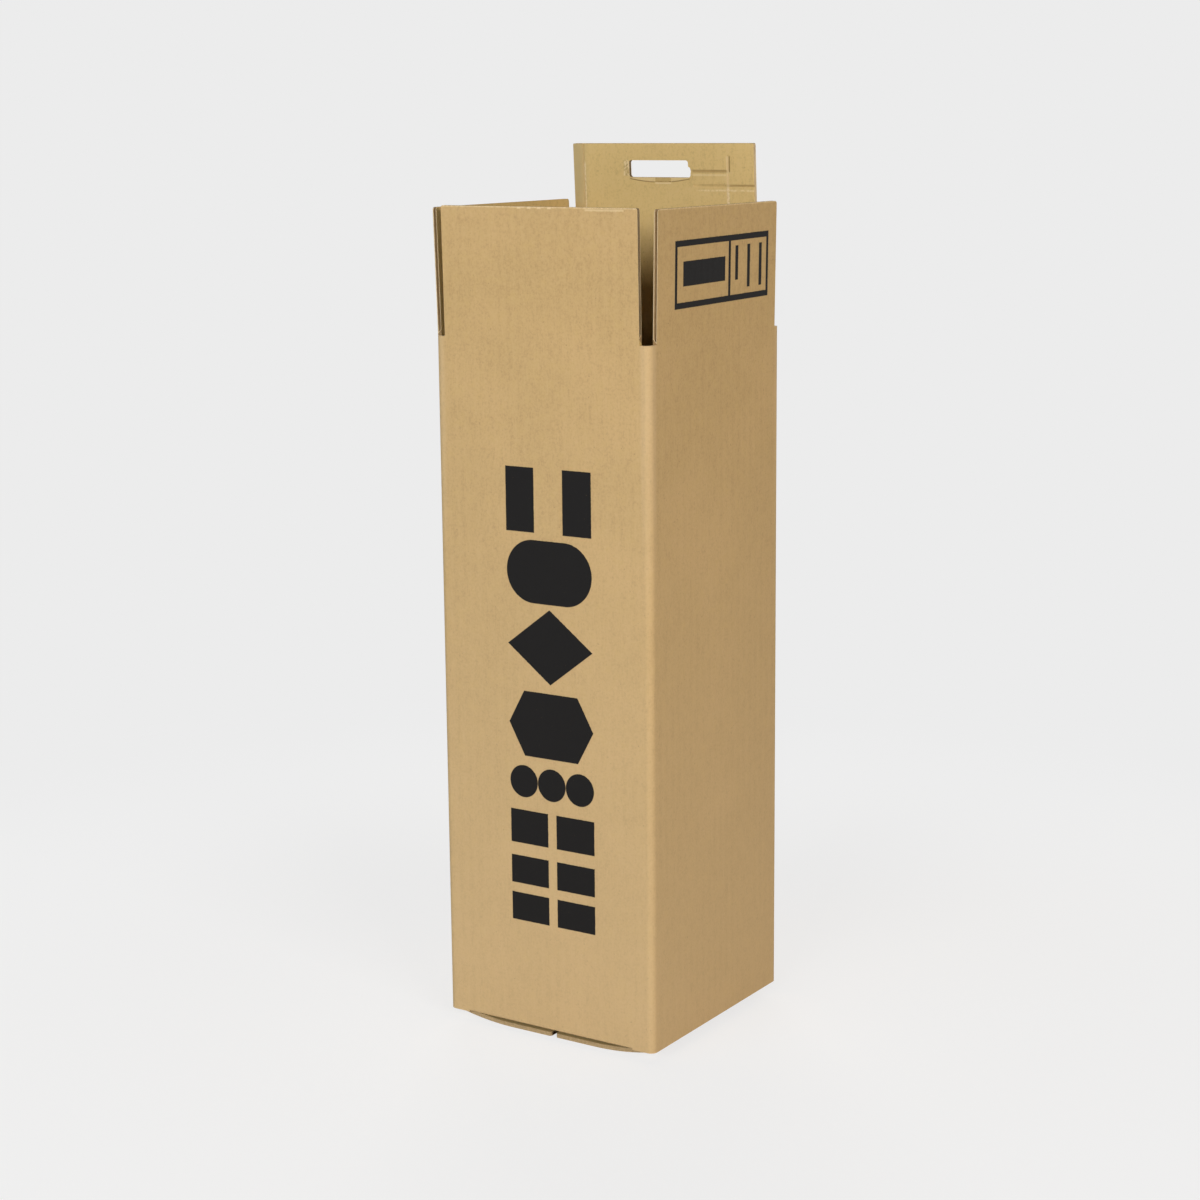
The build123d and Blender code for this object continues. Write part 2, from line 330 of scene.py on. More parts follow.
class Bench:
    """The node tree of a material or world, with one method that adds any node to it."""

    def __init__(self, owner):
        owner.use_nodes = True
        self.tree = owner.node_tree
        self.tree.nodes.clear()

    def node(self, kind, choices=None, inputs=None, output=0):
        """Adds a node, makes its choices, sets or links its sockets and gives one of its outputs."""
        made = self.tree.nodes.new(kind)
        for name, choice in (choices or {}).items():
            setattr(made, name, choice)
        for key, value in (inputs or {}).items():
            if isinstance(value, Field):
                self.tree.links.new(value.socket, made.inputs[key])
            else:
                made.inputs[key].default_value = value
        return Field(self, made.outputs[output])

    def place(self):
        """The point on the surface in object coordinates, in millimetres."""
        metres = self.node("ShaderNodeTexCoord", output="Object")
        return self.node("ShaderNodeVectorMath", {"operation": "SCALE"}, {0: metres, "Scale": 1 / MM})

    def split(self, vector):
        """The three parts of a vector."""
        parts = self.node("ShaderNodeSeparateXYZ", inputs={0: vector})
        return [Field(self, socket) for socket in parts.socket.node.outputs]

    def stretched(self, vector, scale, offset=(0, 0, 0)):
        """A vector scaled on each axis, so that what reads it is drawn out along the smaller ones."""
        return self.node("ShaderNodeMapping", inputs={"Vector": vector, "Scale": scale, "Location": offset})

    def cloud(self, vector, size, detail=2.0, roughness=0.5):
        """Soft noise from 0 to 1 with patches of about the given size in millimetres."""
        return self.node("ShaderNodeTexNoise", inputs={"Vector": vector, "Scale": 1 / size, "Detail": detail,
                                                       "Roughness": roughness})

    def blend(self, share, first, second):
        """The first colour where share is 0 and the second where it is 1."""
        return self.node("ShaderNodeMix", {"data_type": "RGBA", "clamp_factor": True},
                         {0: share, 6: with_alpha(first), 7: with_alpha(second)}, output=2)

    def surface(self, colour, roughness, height, specular=0.12):
        """Ends a material: its colour, its roughness and the relief of its surface in millimetres."""
        relief = self.node("ShaderNodeBump", inputs={"Height": height, "Distance": MM, "Strength": 1.0})
        shader = self.node("ShaderNodeBsdfPrincipled", inputs={
            "Base Color": colour, "Roughness": roughness, "Specular IOR Level": specular, "Normal": relief})
        self.end(shader)

    def end(self, shader):
        """Links a shader to the material's output."""
        last = self.tree.nodes.new("ShaderNodeOutputMaterial")
        self.tree.links.new(shader.socket, last.inputs["Surface"])


def with_alpha(colour):
    """A plain colour gets the fourth value that sockets want; a field is passed on."""
    return colour if isinstance(colour, Field) else (*colour[:3], 1.0)


def select_only(*pieces):
    """Object mode, with only these pieces selected and the first of them active."""
    bpy.ops.object.select_all(action="DESELECT")
    for piece in pieces:
        piece.select_set(True)
    bpy.context.view_layer.objects.active = pieces[0]


def edit_vertices(piece, test):
    """Edit mode, with only the vertices selected that pass the test on their place."""
    select_only(piece)
    bpy.ops.object.mode_set(mode="EDIT")
    bpy.ops.mesh.select_mode(type="VERT")
    bpy.ops.mesh.select_all(action="DESELECT")
    bpy.ops.object.mode_set(mode="OBJECT")
    for vertex in piece.data.vertices:
        vertex.select = test(vertex.co)
    bpy.ops.object.mode_set(mode="EDIT")


def end_edit():
    bpy.ops.object.mode_set(mode="OBJECT")


def apply_modifier(piece, kind, **choices):
    """Adds a modifier, sets it and applies it."""
    modifier = piece.modifiers.new(kind.lower(), kind)
    for name, choice in choices.items():
        setattr(modifier, name, choice)
    select_only(piece)
    bpy.ops.object.modifier_apply(modifier=modifier.name)


def carve(piece, tool, operation):
    """A Boolean whose new faces keep the finish of the piece that they come from."""
    apply_modifier(piece, "BOOLEAN", operation=operation, object=tool, solver="EXACT",
                   material_mode="TRANSFER")


def duplicate(piece):
    """A copy with its own mesh."""
    select_only(piece)
    bpy.ops.object.duplicate(linked=False)
    return bpy.context.active_object


def discard(*pieces):
    for piece in pieces:
        bpy.data.objects.remove(piece, do_unlink=True)


def board_axes(origin, along, inward):
    """Axes of a board: X across its flutes, Y along them and Z from its outer face to its inner one."""
    along = Vector(along).normalized()
    inward = Vector(inward).normalized()
    turn = Matrix((along.cross(inward), along, inward)).transposed()
    return Matrix.Translation(origin) @ turn.to_4x4()


def settle(piece, axes):
    """Lays a piece that was modelled in board axes in its place, and puts that place in its mesh."""
    piece.matrix_world = axes
    select_only(piece)
    bpy.ops.object.transform_apply(location=True, rotation=True, scale=True)


def reach(piece, axes):
    """The lowest and highest value of a piece along each of the board axes."""
    back = axes.inverted()
    points = [back @ vertex.co for vertex in piece.data.vertices]
    return [(min(p[axis] for p in points), max(p[axis] for p in points)) for axis in range(3)]


def mean_normal(node, direction, spread=0.9):
    """The mean normal of the faces of a CAD node that look about one way."""
    total = Vector()
    for face in NODES[node].data.polygons:
        if face.normal.dot(direction) > spread:
            total += face.normal * face.area
    return total.normalized()


def envelope(node, name):
    """A welded copy of a CAD node's mesh, with its flat faces made whole."""
    copy = bpy.data.objects.new(name, NODES[node].data.copy())
    bpy.context.scene.collection.objects.link(copy)
    copy.data.materials.clear()
    select_only(copy)
    bpy.ops.mesh.customdata_custom_splitnormals_clear()
    bpy.ops.object.mode_set(mode="EDIT")
    bpy.ops.mesh.select_all(action="SELECT")
    bpy.ops.mesh.remove_doubles(threshold=WELD)
    bpy.ops.mesh.dissolve_limited(angle_limit=math.radians(0.2))
    end_edit()
    return copy


# Room between the fluting and each liner.
FLUTE_CLEARANCE = 0.01 * MM


def web(name, across, along, level, thickness, fluted=False, bend=0.0, bend_radius=0.0):
    """A layer in board axes: flat or fluted, straight along the flutes and then bent inwards."""
    sizes = settings().board
    start, end = across
    near, far = along
    columns = sizes.wave_steps if fluted else 1
    width = sizes.pitch if fluted else end - start
    bpy.ops.object.select_all(action="DESELECT")
    bpy.ops.mesh.primitive_grid_add(x_subdivisions=columns, y_subdivisions=1, size=1,
                                    location=(start + width / 2, (near + far) / 2, level))
    layer = bpy.context.active_object
    layer.name = name
    layer.scale = (width, far - near, 1)
    bpy.ops.object.transform_apply(location=True, rotation=True, scale=True)
    if fluted:
        swing = level - sizes.liner - thickness / 2 - FLUTE_CLEARANCE
        for column in range(columns + 1):
            line = start + width * column / columns
            edit_vertices(layer, lambda place: abs(place.x - line) < width / columns / 4)
            bpy.ops.transform.translate(value=(0, 0, swing * math.sin(math.tau * column / columns)))
            end_edit()
    if bend:
        edit_vertices(layer, lambda place: place.y > far - WELD)
        bpy.ops.mesh.select_mode(type="EDGE")
        bpy.ops.mesh.spin(steps=sizes.bend_steps, angle=-bend, center=(0, far, bend_radius), axis=(1, 0, 0))
        end_edit()
    if fluted:
        apply_modifier(layer, "ARRAY", count=math.ceil((end - start) / sizes.pitch),
                       use_relative_offset=False, use_constant_offset=True,
                       constant_offset_displace=(sizes.pitch, 0, 0), use_merge_vertices=True,
                       merge_threshold=WELD)
    apply_modifier(layer, "SOLIDIFY", thickness=thickness, offset=0.0, use_even_offset=True)
    return layer


def fluted_hollow(board, axes, across, along, inner_liner=None, mitred=False, bend=0.0, bend_radius=0.0):
    """Cuts the hollow between the liners of a board, and gives the fluting that lies in it."""
    sizes = settings().board
    low = sizes.liner
    high = sizes.thickness - (inner_liner or sizes.liner)
    level = (low + high) / 2
    shape = {"bend": bend, "bend_radius": bend_radius}
    core = web("core", across, along, level, high - low, **shape)
    if mitred:
        near = along[0]
        edit_vertices(core, lambda place: place.y < near + WELD and place.z > level)
        bpy.ops.transform.translate(value=(0, (high - low) * math.tan(sizes.mitre), 0))
        end_edit()
    fluting = web("fluting", across, along, level, sizes.medium, fluted=True, **shape)
    # The hollow gets its dark colour as painted shade inside the board.
    core.data.materials.append(plain_finish("kraft_hollow", settings().colours.hollow))
    fluting.data.materials.append(plain_finish("kraft_medium", settings().colours.medium))
    for layer in (core, fluting):
        settle(layer, axes)
    pocket = duplicate(core)
    carve(pocket, board, "INTERSECT")
    carve(board, core, "DIFFERENCE")
    carve(fluting, pocket, "INTERSECT")
    discard(core, pocket)
    return fluting


def finish_faces(board, finishes, choose):
    """Gives a board its finishes, and each face the one that choose picks by the face's place and normal."""
    for finish in finishes:
        board.data.materials.append(finish)
    for face in board.data.polygons:
        face.material_index = choose(face.center, face.normal)


def complete(board, flutings, body, node):
    """Joins the fluting to its board, smooths its bends and says what the piece stands for."""
    select_only(board, *flutings)
    if flutings:
        bpy.ops.object.join()
    select_only(board)
    bpy.ops.object.mode_set(mode="EDIT")
    bpy.ops.mesh.select_all(action="SELECT")
    bpy.ops.mesh.dissolve_degenerate(threshold=WELD)
    end_edit()
    bpy.ops.object.shade_smooth_by_angle(angle=math.radians(30))
    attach(board, body)
    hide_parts(node)


OUTSIDE, INSIDE, CUT = range(3)

# The upright folds are rubbed where the distances from the two middle planes add up to these, in millimetres.
FOLD_RUB = (142.0, 145.0)


def liner_surface(bench, base, colours, upright, worn_folds=False, inks=None, marks=None):
    """The look of a kraft liner: patches, fibres, flecks, the flutes showing through, rubbed folds with a
    painted bounce light that pales the liner towards the floor, print, and the marks that a function of the
    place
    gives: shares of other colours, and a height. All lengths are in millimetres."""
    place = bench.place()
    x, y, z = bench.split(place)
    patches = bench.cloud(place, 55.0, detail=3.0)
    mottle = bench.cloud(place, 7.0, detail=3.0, roughness=0.6)
    speckle = bench.cloud(place, 1.6, detail=3.0, roughness=0.75)
    fibre_scale = (1.0, 1.0, 0.16) if upright else (0.16, 1.0, 1.0)
    fibres = bench.cloud(bench.stretched(place, fibre_scale), 0.9, detail=2.0, roughness=0.6)
    across = x + y if upright else y
    pitch = settings().board.pitch / MM
    flutes = (across * (math.tau / pitch) + (mottle - 0.5) * 1.2).sine()
    waver = bench.cloud(bench.stretched(place, (1.0, 1.0, 0.35)), 24.0)
    washboard = flutes * waver.rise(0.3, 0.7)

    plain, warm, dull, fleck = base
    colour = bench.blend(patches.rise(0.42, 0.68), plain, warm)
    colour = bench.blend(mottle.rise(0.45, 0.85) * 0.7, colour, dull)
    shade = (0.5 - mottle) * 0.30 + (0.5 - speckle) * 0.85 + (0.5 - fibres) * 0.35 + washboard * 0.04
    colour = bench.blend(shade.larger(0.0), colour, fleck)
    colour = bench.blend((0.0 - shade).larger(0.0), colour, colours.worn)
    flecks = bench.cloud(bench.stretched(place, (1.0, 1.0, 0.7), (7.3, 1.9, 4.1)), 1.3, detail=1.0)
    sparse = bench.cloud(place, 11.0)
    colour = bench.blend(flecks.rise(0.70, 0.80) * sparse.rise(0.45, 0.6) * 0.4, colour, fleck)
    height = washboard * 0.018 + speckle * 0.012 + fibres * 0.016 + mottle * 0.03
    roughness = 0.8 + (speckle - 0.5) * 0.2
    if worn_folds:
        sum_of_sides = abs(x) + abs(y)
        rub = bench.cloud(bench.stretched(place, (1.0, 1.0, 0.12)), 3.2, detail=3.0)
        worn = sum_of_sides.rise(*FOLD_RUB) * (0.6 + rub * 0.8) * (0.04 + z.rise(180.0, 400.0) * 0.30)
        # Painted bounce light: besides the rubbed folds, the liner pales towards the floor, by up to a third
        # at its foot.
        colour = bench.blend(worn.larger(z.rise(500.0, 0.0) * 0.32), colour, colours.worn)
    if inks:
        ragged = (speckle - 0.5) * 0.35 + (fibres - 0.5) * 0.25
        mask = inks(x + ragged, y + ragged, z + ragged)
        thin = 1.0 - speckle.rise(0.66, 0.8) * 0.10
        colour = bench.blend(mask * thin, colour, colours.ink)
        roughness = roughness - mask * 0.2
    if marks:
        layers, step = marks(x, y, z, speckle)
        for share, shade in layers:
            colour = bench.blend(share, colour, shade)
        height = height + step
    return colour, roughness, height


def finish(name, build):
    """The material of that name, made the first time that it is asked for."""
    material = bpy.data.materials.get(name)
    if material is None:
        material = bpy.data.materials.new(name)
        build(Bench(material))
    return material


def outside_finish(name="kraft_outside", upright=True, **extras):
    """The outer liner, with rubbed folds and a painted bounce light near the floor, print or marks where they
    are asked for.
    """
    colours = settings().colours
    base = (colours.outside, colours.outside_warm, colours.outside_dull, colours.fleck)

    def build(bench):
        bench.surface(*liner_surface(bench, base, colours, upright, **extras))

    return finish(name, build)


def inside_finish(name="kraft_inside", **extras):
    """The yellower inner liner, with marks where they are asked for."""
    colours = settings().colours
    base = (colours.inside, colours.inside, colours.inside, colours.fleck)

    def build(bench):
        bench.surface(*liner_surface(bench, base, colours, True, **extras))

    return finish(name, build)


def plain_finish(name, shade):
    """The rough unprinted paper of the wavy layer and of what lies against it."""
    def build(bench):
        place = bench.place()
        mottle = bench.cloud(place, 1.5, detail=3.0)
        colour = bench.blend(mottle.rise(0.3, 0.8) * 0.4, shade, settings().colours.fleck)
        bench.surface(colour, 0.85 + (mottle - 0.5) * 0.1, mottle * 0.03)

    return finish(name, build)


def cut_finish():
    """The frayed paper of a cut edge."""
    colours = settings().colours

    def build(bench):
        place = bench.place()
        fuzz = bench.cloud(place, 0.4, detail=3.0, roughness=0.7)
        patches = bench.cloud(place, 5.0)
        colour = bench.blend(fuzz.rise(0.35, 0.75) * 0.5, colours.raw_edge, colours.worn)
        colour = bench.blend(patches.rise(0.5, 0.8) * 0.5, colour, colours.medium)
        bench.surface(colour, 0.9 + (fuzz - 0.5) * 0.1, fuzz * 0.06)

    return finish("kraft_cut_edge", build)


# Half the width of the soft edge of a printed shape, in millimetres.
EDGE_SOFTNESS = 0.12


def filled(depth):
    """Ink where depth, the distance in from an edge in millimetres, is above 0, with a slightly soft edge."""
    return (depth / (2 * EDGE_SOFTNESS) + 0.5).clamped()


def between(value, low, high):
    """How far in a value lies from the nearer end of a stretch."""
    return (value - low).smaller(high - value)


def in_mm(stretch):
    """Both ends of a stretch in millimetres."""
    return [value / MM for value in stretch]


def front_shapes(x, y, z):
    """A column of plain black shapes on the front panel."""
    sizes = settings().print_sizes
    left, right = in_mm(sizes.column)
    width = right - left
    middle = (left + right) / 2
    sideways = abs(x - middle)
    half = width / 2
    gap = 6.0

    def row(stretch):
        """Half the height of a row, and how far up or down from its middle each point lies."""
        low, high = in_mm(stretch)
        return (high - low) / 2, abs(z - (low + high) / 2)

    def disc(radius, along, up):
        return radius - (along * along + up * up).root()

    tall, up = row(sizes.stripes)
    stripes = (tall - up).smaller(between(sideways, width / 6, half))
    tall, up = row(sizes.pill)
    pill = disc(tall, (sideways - (half - tall)).larger(0.0), up)
    tall, up = row(sizes.lozenge)
    lozenge = (1.0 - sideways / half - up / tall) * (tall * 0.8)
    tall, up = row(sizes.hexagon)
    hexagon = (tall - up).smaller((half - sideways - up * 0.55) * 0.88)
    tall, up = row(sizes.discs)
    discs = disc(tall, sideways, up).larger(disc(tall, abs(sideways - (half - tall)), up))
    beside = between(sideways, gap / 2, half)
    tall, up = row(sizes.dashes)
    dashes = (tall - up).smaller(beside)
    tall, up = row(sizes.blocks)
    blocks = between(up, gap / 2, tall).smaller(beside)
    depth = stripes
    for shape in (pill, lozenge, hexagon, discs, dashes, blocks):
        depth = depth.larger(shape)
    front = (0.0 - y).rise(72.0, 73.5)
    return filled(depth) * front


# The frame's level bars climb towards the rear by this slope.
FRAME_TILT = 0.011


def flap_frame(x, y, z):
    """A frame in two cells on the right flap, with a block in one and three bars in the other."""
    sizes = settings().print_sizes
    front, rear = in_mm(sizes.frame_sides)
    foot, top = in_mm(sizes.frame_heights)
    bar = sizes.frame_bar / MM
    line = sizes.frame_line / MM
    divider = sizes.divider / MM
    z = z - y * FRAME_TILT
    whole = between(y, front, rear).smaller(between(z, foot, top))
    inner = between(y, front + line, rear - line).smaller(between(z, foot + bar, top - bar))
    rim = whole.smaller(0.0 - inner)
    fence = whole.smaller(between(y, divider - line / 2, divider + line / 2))
    block = between(y, front + 9.0, divider - 5.0).smaller(between(z, foot + 12.5, top - 12.0))
    depth = rim.larger(fence).larger(block)
    half_bar = 1.7
    feet = (foot + 12.0, foot + 7.0, foot + 7.0)
    room = rear - line - divider - line / 2
    for column, bar_foot in enumerate(feet):
        centre = divider + line / 2 + room * (column + 0.5) / len(feet)
        upright_bar = between(y, centre - half_bar, centre + half_bar)
        depth = depth.larger(upright_bar.smaller(between(z, bar_foot, top - 6.5)))
    return filled(depth)


def streak(value, centre, half_width):
    """1 along a line and 0 beyond its half width, with soft sides."""
    return abs(value - centre).rise(half_width, half_width * 0.3)


def crease_lines(x, z, broken):
    """Painted shade in the grooves of the four pressed lines, and painted highlights on the ridges beside
    them, as dark and pale shares.
    """
    sizes = settings().creases
    left, right = -sizes.left / MM, sizes.right / MM
    right_top, upper, lower = sizes.right_top / MM, sizes.upper / MM, sizes.lower / MM
    left_foot, left_top = in_mm(sizes.left_run)
    slot_right = sizes.slot[1] / MM
    upper_run = x.rise(slot_right, slot_right + 2.0) * x.rise(right, right - 1.5)
    lower_run = x.rise(slot_right + 3.0, slot_right + 9.0)
    right_run = z.rise(right_top, right_top - 1.5)
    left_run = z.rise(left_foot - 2.0, left_foot + 2.0) * z.rise(left_top + 1.5, left_top - 1.5)
    dark = streak(z, upper, 1.4) * upper_run * 0.5
    dark = dark.larger(streak(z, lower, 1.0) * lower_run * (0.25 + x.rise(right - 3.0, right + 3.0) * 0.3))
    dark = dark.larger(streak(x, right + 1.0, 0.8) * right_run * z.rise(upper - 1.0, upper) * 0.8)
    pale = (streak(x, right - 0.3, 1.3) * right_run * (0.35 + z.rise(lower, lower - 3.0) * broken * 0.65))
    pale = pale.larger(streak(x, left + 0.4, 0.9) * left_run * (0.3 + broken * 0.5))
    pale = pale.larger(streak(z, lower - 3.0, 0.8) * lower_run * (0.15 + broken * 0.35))
    return dark, pale.larger(streak(z, upper - 2.3, 0.9) * upper_run * 0.3)


# Millimetres under the slot: the ends of the lip, how much lower its middle is, and the tongue's foot.
LIP_DEPTH = 0.8
LIP_SAG = 2.2
TONGUE_DEPTH = 2.6


def slot_marks(x, z, broken):
    """The bent lip under the hand-hold slot and its tongue, as painted shadow lines and painted highlights,
    and the rubbed liner at the slot's left end, as dark and pale shares."""
    sizes = settings().creases
    left, right = in_mm(sizes.slot)
    foot = sizes.slot_foot / MM
    middle, half = (left + right) / 2, (right - left) / 2
    half_tongue = sizes.tongue_width / MM / 2
    from_tongue = abs(x - (middle + sizes.tongue / MM))
    out = (x - middle) / half
    sag = foot - LIP_DEPTH - (1.0 - out * out).larger(0.0) * LIP_SAG
    ends = abs(out).rise(1.0, 0.95) * from_tongue.rise(half_tongue - 0.5, half_tongue + 0.5)
    tongue = from_tongue.rise(half_tongue, half_tongue - 0.6)
    tongue_line = foot - TONGUE_DEPTH
    lip = (z - sag).rise(0.0, 0.4) * abs(out).rise(1.0, 0.9) * z.rise(foot + 0.4, foot)
    dark = abs(z - sag).rise(0.45, 0.15) * ends * 0.85
    dark = dark.larger(between(z, tongue_line, foot).rise(0.0, 0.3) * tongue * 0.3)
    dark = dark.larger(abs(z - tongue_line).rise(0.5, 0.2) * tongue * (0.35 + broken * 0.5))
    pale = abs(z - (tongue_line - 1.0)).rise(0.6, 0.2) * tongue * 0.5
    pale = pale.larger(lip * (1.0 - tongue) * 0.25)
    beside = x.rise(left - 4.5, left - 3.5) * x.rise(left, left - 0.5)
    rubbed = beside * z.rise(foot, foot + 1.5) * z.rise(foot + 11.5, foot + 9.0)
    return dark.larger(rubbed * (1.0 - broken) * 0.35), pale.larger(rubbed * broken * 0.6)


def pressed_lines(x, y, z, speckle):
    """The marks on the inside of the rear flap: painted shade and highlights of its creases and its slot, and
    painted shade on the stretch beside its left crease.
    """
    colours = settings().colours
    left = -settings().creases.left / MM
    inner = y.rise(74.9, 72.5)
    broken = speckle.rise(0.38, 0.6)
    crease_dark, crease_pale = crease_lines(x, z, broken)
    slot_dark, slot_pale = slot_marks(x, z, broken)
    dark = crease_dark.larger(slot_dark)
    pale = crease_pale.larger(slot_pale)
    # Painted shade: the stretch beside the left crease is greyed, as for a strip bent away from the light.
    band = x.rise(left + 5.0, left - 5.0) * (0.3 + speckle * 0.5)
    # Painted shade in the grooves and under the lip, painted highlights on the ridges, and the greyed stretch
    # beside the left crease.
    layers = ((band * inner * 0.85, colours.painted_bend_shade), (dark * inner, colours.pressed),
              (pale * inner, colours.ridge_highlight_and_wear))
    return layers, (pale * 0.15 - dark * 0.1) * inner


def rubbed_edge(top, scalloped=None, scratched=None):
    """The rubbed top edge of a flap. Over one stretch of x the crests of the flutes show, and over another a
    scratch runs below the edge."""
    def marks(x, y, z, speckle):
        pale = z.rise(top - 0.9, top - 0.4) * (0.3 + speckle.rise(0.4, 0.7) * 0.5)
        if scalloped:
            crests = (x * (math.tau * MM / settings().board.pitch)).sine().rise(-0.1, 0.8)
            pale = pale.larger(z.rise(top - 1.7, top - 0.8) * crests * filled(between(x, *scalloped)) * 0.65)
        if scratched:
            level = top - 1.5 - (speckle - 0.5) * 1.2
            pale = pale.larger(abs(z - level).rise(0.9, 0.2) * filled(between(x, *scratched)) * 0.4)
        return ((pale, settings().colours.ridge_highlight_and_wear),), pale * 0.05

    return marks


def deep_shade(x, y, z, speckle):
    """Painted shade: the inner liner of the tube is darkened further down, where little light reaches."""
    return ((z.rise(434.0, 400.0) * 0.85, settings().colours.deep_painted_shade),), 0.0


def shade_underneath(x, y, z, speckle):
    """Painted shade: the outer liner is darkened where it turns in under the front and rear panels."""
    turned = abs(y).rise(74.7, 73.0) * abs(x).rise(68.0, 62.0) * z.rise(9.0, 7.5)
    return ((turned * 0.85, settings().colours.deep_painted_shade),), 0.0


def flap_sides(outward):
    """Picks the finish of a flap's face by the way that it looks."""
    def choose(centre, normal):
        if normal.dot(outward) > 0.6:
            return OUTSIDE
        return INSIDE if normal.dot(outward) < -0.6 else CUT
    return choose


# How far the hollow and its fluting reach past a cut edge, and how far they stop short of a crushed one.
MARGIN = 5 * MM
CRUSHED = 1.5 * MM


def make_top_flap(node, name, body, outward, outside=None, inside=None, inner_liner=None, phase=0.0,
                  from_end=False, crushed_end=False):
    """A top flap: its liners, closed along the mitre of the fold, and the fluting that its cut edges show.
    Phase is how far through a wave the first side edge cuts it, or the last. A crushed end shows none."""
    sizes = settings().board
    hinge = HINGES[body]
    outward = mean_normal(node, outward)
    along = outward.cross(Vector(hinge["axis"])).normalized()
    if along.z < 0:
        along = -along
    axes = board_axes(hinge["pos_m"], along, -outward)
    board = envelope(node, name)
    finishes = (outside or outside_finish(), inside or inside_finish(), cut_finish())
    finish_faces(board, finishes, flap_sides(outward))
    across, length, _ = reach(board, axes)
    if from_end:
        phase -= (across[1] - across[0]) / sizes.pitch
    foot = sizes.liner / math.cos(sizes.mitre) + sizes.liner * math.tan(sizes.mitre)
    start = across[0] - (phase % 1 + 1) * sizes.pitch
    end = across[1] - CRUSHED if crushed_end else across[1] + MARGIN
    fluting = fluted_hollow(board, axes, (start, end), (foot, length[1] + MARGIN), inner_liner=inner_liner,
                            mitred=True)
    complete(board, [fluting], body, node)


def make_foot_flap(node, name, body, side):
    """A bottom flap: flat in the middle and bowed up to its fold, with crushed sides."""
    sizes = settings().board
    fold = Vector(HINGES[body]["pos_m"])
    board = envelope(node, name)
    finish_faces(board, (outside_finish("kraft_bottom", upright=False), inside_finish(),
                         plain_finish("kraft_crushed", settings().colours.crushed)), flap_sides(-Z_AXIS))
    low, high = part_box(node)
    free_edge = min(abs(low.x), abs(high.x)) * side
    axes = board_axes((free_edge, 0, 0), X_AXIS * side, Z_AXIS)
    across = reach(board, axes)[0]
    run = abs(fold.x) - sizes.bottom_flat
    radius = (run ** 2 + fold.z ** 2) / (2 * fold.z)
    bend = math.asin((run - sizes.bottom_clear) / radius)
    fluting = fluted_hollow(board, axes, (across[0] + CRUSHED, across[1] - CRUSHED),
                            (-MARGIN, sizes.bottom_flat - abs(free_edge)), bend=bend, bend_radius=radius)
    complete(board, [fluting], body, node)


# How far from the centre of an upright fold's rounding the outer liner begins.
OUTER_REACH = 3.4 * MM


class BOTTLEBOX_OT_carton(bpy.types.Operator):
    """Build the tube of four panels with its lap and its inner bottom flaps"""

    bl_idname = "bottlebox.carton"
    bl_label = "Carton"

    def execute(self, context):
        board = envelope("carton_body", "carton_board")
        sizes = settings().board
        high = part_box("carton_body")[1]
        inner_face = high.x - sizes.thickness
        fold_centre = high.x - sizes.corner
        inside_lap = inner_face - 3 * MM
        top_edges = high.z - 10 * MM

        def choose(centre, normal):
            if normal.z > 0.9 and centre.z > top_edges:
                return CUT
            if normal.z < -0.6:
                return OUTSIDE
            if normal.z > 0.6:
                return INSIDE
            if max(abs(centre.x), abs(centre.y)) < inside_lap:
                return CUT
            past = Vector([max(abs(value) - fold_centre, 0) for value in centre[:2]]).length
            return OUTSIDE if past > OUTER_REACH else INSIDE

        # The outer liner has rubbed folds, a painted bounce light towards the floor and painted shade where
        # it turns in under the panels; the inner liner of the tube has painted shade further down.
        finish_faces(board, (outside_finish("kraft_front_print", worn_folds=True, inks=front_shapes,
                                            marks=shade_underneath),
                             inside_finish("kraft_tube", marks=deep_shade), cut_finish()), choose)
        complete(board, [], "carton", "carton_body")
        return {"FINISHED"}


class BOTTLEBOX_OT_top_flaps(bpy.types.Operator):
    """Build the four top flaps with their open fluted edges"""

    bl_idname = "bottlebox.top_flaps"
    bl_label = "Top flaps"

    def execute(self, context):
        front_top, right_top = (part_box(node)[1].z / MM for node in ("front_top_flap", "right_top_flap"))
        front_edge = rubbed_edge(front_top, scalloped=(-15.0, 13.0), scratched=(33.0, 59.0))
        right_edge = rubbed_edge(right_top)
        make_top_flap("front_top_flap", "front_flap_board", "front_flap", -Y_AXIS,
                      outside=outside_finish("kraft_front_flap", marks=front_edge))
        make_top_flap("left_top_flap", "left_flap_board", "left_flap", -X_AXIS, phase=0.75)
        make_top_flap("right_top_flap", "right_flap_board", "right_flap", X_AXIS, phase=0.2, from_end=True,
                      outside=outside_finish("kraft_right_flap", inks=flap_frame, marks=right_edge))
        make_top_flap("rear_handle_flap", "rear_flap_board", "rear_flap", Y_AXIS,
                      inside=inside_finish("kraft_pressed", marks=pressed_lines),
                      inner_liner=settings().board.creased_liner, crushed_end=True)
        return {"FINISHED"}


